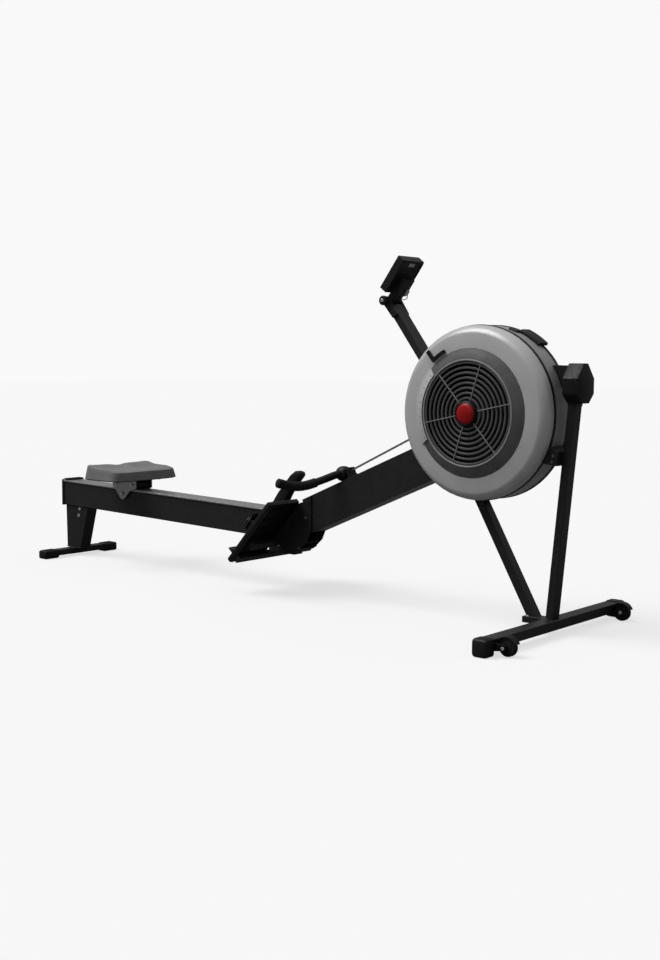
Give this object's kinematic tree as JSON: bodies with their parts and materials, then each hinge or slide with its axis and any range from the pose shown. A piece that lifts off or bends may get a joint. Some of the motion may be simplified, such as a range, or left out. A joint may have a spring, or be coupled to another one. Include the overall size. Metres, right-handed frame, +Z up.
{
  "type": "rowing machine",
  "caption": "Air-resistance rowing machine: low sliding seat on a long rail, inclined footrests, chain handle, round fan housing with a silver shell and a tilting console on an arm.",
  "frame": {"origin": "on the floor, under the middle of the bounding box", "axes": "+X towards the flywheel end, +Y to the left of somebody who sits facing the flywheel, +Z up"},
  "size_m": [2.3578, 0.76, 1.1057],
  "materials": {
    "frame_paint": "satin black powder coat",
    "black_plastic": "fine moulded grain",
    "silver_shell": "satin silver, moulded",
    "dark_shell": "dark grey, moulded",
    "track_steel": "brushed along the rail",
    "plain_steel": "zinc plated",
    "flywheel_metal": "plain",
    "seat_foam": "soft grey skin foam",
    "rubber": "matt",
    "red_plastic": "satin red",
    "webbing": "woven black webbing"
  },
  "bodies": {
    "frame": {"rear_end_cap": "black_plastic", "rear_foot_bar": "frame_paint", "rear_foot_cap_near": "black_plastic", "rear_foot_cap_far": "black_plastic", "rear_leg": "frame_paint", "rear_stop": "rubber", "seat_rail": "frame_paint", "seat_track": "track_steel", "main_beam": "frame_paint", "frame_joint": "frame_paint", "footplate_near": "black_plastic", "footplate_far": "black_plastic", "foot_strap_near": "webbing", "foot_strap_far": "webbing", "handle_hook": "black_plastic", "chain_guide": "black_plastic", "drive_chain": "plain_steel", "return_cord": "rubber", "bearing_near": "plain_steel", "bearing_far": "plain_steel", "frame_plate_near": "frame_paint", "frame_plate_far": "frame_paint", "rim_band": "silver_shell", "rim_band_rear": "silver_shell", "shell_near": "silver_shell", "shell_far": "black_plastic", "intake_ring": "dark_shell", "intake_guard": "black_plastic", "hub_cap": "red_plastic", "front_foot_bar": "frame_paint", "front_foot_near": "black_plastic", "front_foot_far": "black_plastic", "upright": "frame_paint", "upright_cap": "black_plastic", "diagonal_leg": "frame_paint", "rim_bracket_lower": "frame_paint", "rim_bracket_upper": "frame_paint"},
    "seat": {"seat_pad": "seat_foam", "seat_carriage": "plain_steel"},
    "seat_roller_rear": {"seat_roller_rear": "black_plastic"},
    "seat_roller_front": {"seat_roller_front": "black_plastic"},
    "guide_roller_near": {"guide_roller_near": "plain_steel"},
    "guide_roller_far": {"guide_roller_far": "plain_steel"},
    "handle": {"handle_bar": "black_plastic", "handle_grip_near": "rubber", "handle_grip_far": "rubber"},
    "sprocket": {"sprocket": "plain_steel"},
    "flywheel": {"flywheel": "flywheel_metal", "axle": "plain_steel"},
    "damper": {"damper_lever": "black_plastic"},
    "monitor_arm": {"monitor_arm": "frame_paint"},
    "console": {"console_case": "black_plastic", "console_lead": "rubber"},
    "tilt_knob": {"tilt_knob": "black_plastic"},
    "key_left": {"key_left": "rubber"},
    "key_right": {"key_right": "rubber"},
    "heel_cup_near": {"heel_cup_near": "black_plastic"},
    "heel_cup_far": {"heel_cup_far": "black_plastic"},
    "transport_wheel_near": {"transport_wheel_near": "rubber"},
    "transport_wheel_far": {"transport_wheel_far": "rubber"}
  },
  "joints": [
    {"name": "seat_slide", "type": "slide", "parent": "frame", "child": "seat", "axis": [0.9998, 0, -0.0209], "range_m": [-0.25, 0.6]},
    {"name": "seat_roller_rear_spin", "type": "hinge", "parent": "seat", "child": "seat_roller_rear", "pos_m": [-0.8246, 0, 0.31048], "axis": [0, 1, 0], "continuous": true},
    {"name": "seat_roller_front_spin", "type": "hinge", "parent": "seat", "child": "seat_roller_front", "pos_m": [-0.7336, 0, 0.30857], "axis": [0, 1, 0], "continuous": true},
    {"name": "guide_roller_near_spin", "type": "hinge", "parent": "seat", "child": "guide_roller_near", "pos_m": [-0.7896, -0.0359, 0.27334], "axis": [0, 1, 0], "continuous": true},
    {"name": "guide_roller_far_spin", "type": "hinge", "parent": "seat", "child": "guide_roller_far", "pos_m": [-0.7896, 0.0359, 0.27334], "axis": [0, 1, 0], "continuous": true},
    {"name": "handle_pull", "type": "slide", "parent": "frame", "child": "handle", "axis": [-0.9848, 0, 0.1736], "range_m": [0, 1.25], "stiffness_N_per_m": 3, "springref_m": -1.5},
    {"name": "sprocket_spin", "type": "hinge", "parent": "frame", "child": "sprocket", "pos_m": [0.8474, 0, 0.633], "axis": [0, 1, 0], "continuous": true},
    {"name": "flywheel_spin", "type": "hinge", "parent": "frame", "child": "flywheel", "pos_m": [0.8474, 0, 0.633], "axis": [0, 1, 0], "continuous": true},
    {"name": "damper_turn", "type": "hinge", "parent": "frame", "child": "damper", "pos_m": [0.8474, -0.0918, 0.633], "axis": [0, -1, 0], "range_deg": [0, 75]},
    {"name": "arm_turn", "type": "hinge", "parent": "frame", "child": "monitor_arm", "pos_m": [0.6444, 0, 0.7635], "axis": [0, 1, 0], "range_deg": [-15, 10]},
    {"name": "console_tilt", "type": "hinge", "parent": "monitor_arm", "child": "console", "pos_m": [0.4864, 0, 0.971], "axis": [0, 1, 0], "range_deg": [-30, 30]},
    {"name": "knob_turn", "type": "hinge", "parent": "monitor_arm", "child": "tilt_knob", "pos_m": [0.4864, -0.0363, 0.971], "axis": [0, -1, 0], "range_deg": [0, 270]},
    {"name": "key_left_press", "type": "slide", "parent": "console", "child": "key_left", "axis": [0.7955, 0, -0.606], "range_m": [0, 0.0015], "stiffness_N_per_m": 300},
    {"name": "key_right_press", "type": "slide", "parent": "console", "child": "key_right", "axis": [0.7955, 0, -0.606], "range_m": [0, 0.0015], "stiffness_N_per_m": 300},
    {"name": "heel_slide_near", "type": "slide", "parent": "frame", "child": "heel_cup_near", "axis": [0.6717, 0, 0.7408], "range_m": [0, 0.05]},
    {"name": "heel_slide_far", "type": "slide", "parent": "frame", "child": "heel_cup_far", "axis": [0.6717, 0, 0.7408], "range_m": [0, 0.05]},
    {"name": "transport_spin_near", "type": "hinge", "parent": "frame", "child": "transport_wheel_near", "pos_m": [1.1399, -0.312, 0.0262], "axis": [0, 1, 0], "continuous": true},
    {"name": "transport_spin_far", "type": "hinge", "parent": "frame", "child": "transport_wheel_far", "pos_m": [1.1399, 0.312, 0.0262], "axis": [0, 1, 0], "continuous": true}
  ],
  "couplings": [
    {"joint": "seat_roller_rear_spin", "follows": "seat_slide", "rad_per_m": 64.516},
    {"joint": "seat_roller_front_spin", "follows": "seat_slide", "rad_per_m": 64.516},
    {"joint": "guide_roller_near_spin", "follows": "seat_slide", "rad_per_m": -83.333},
    {"joint": "guide_roller_far_spin", "follows": "seat_slide", "rad_per_m": -83.333},
    {"joint": "sprocket_spin", "follows": "handle_pull", "rad_per_m": -26.316}
  ]
}
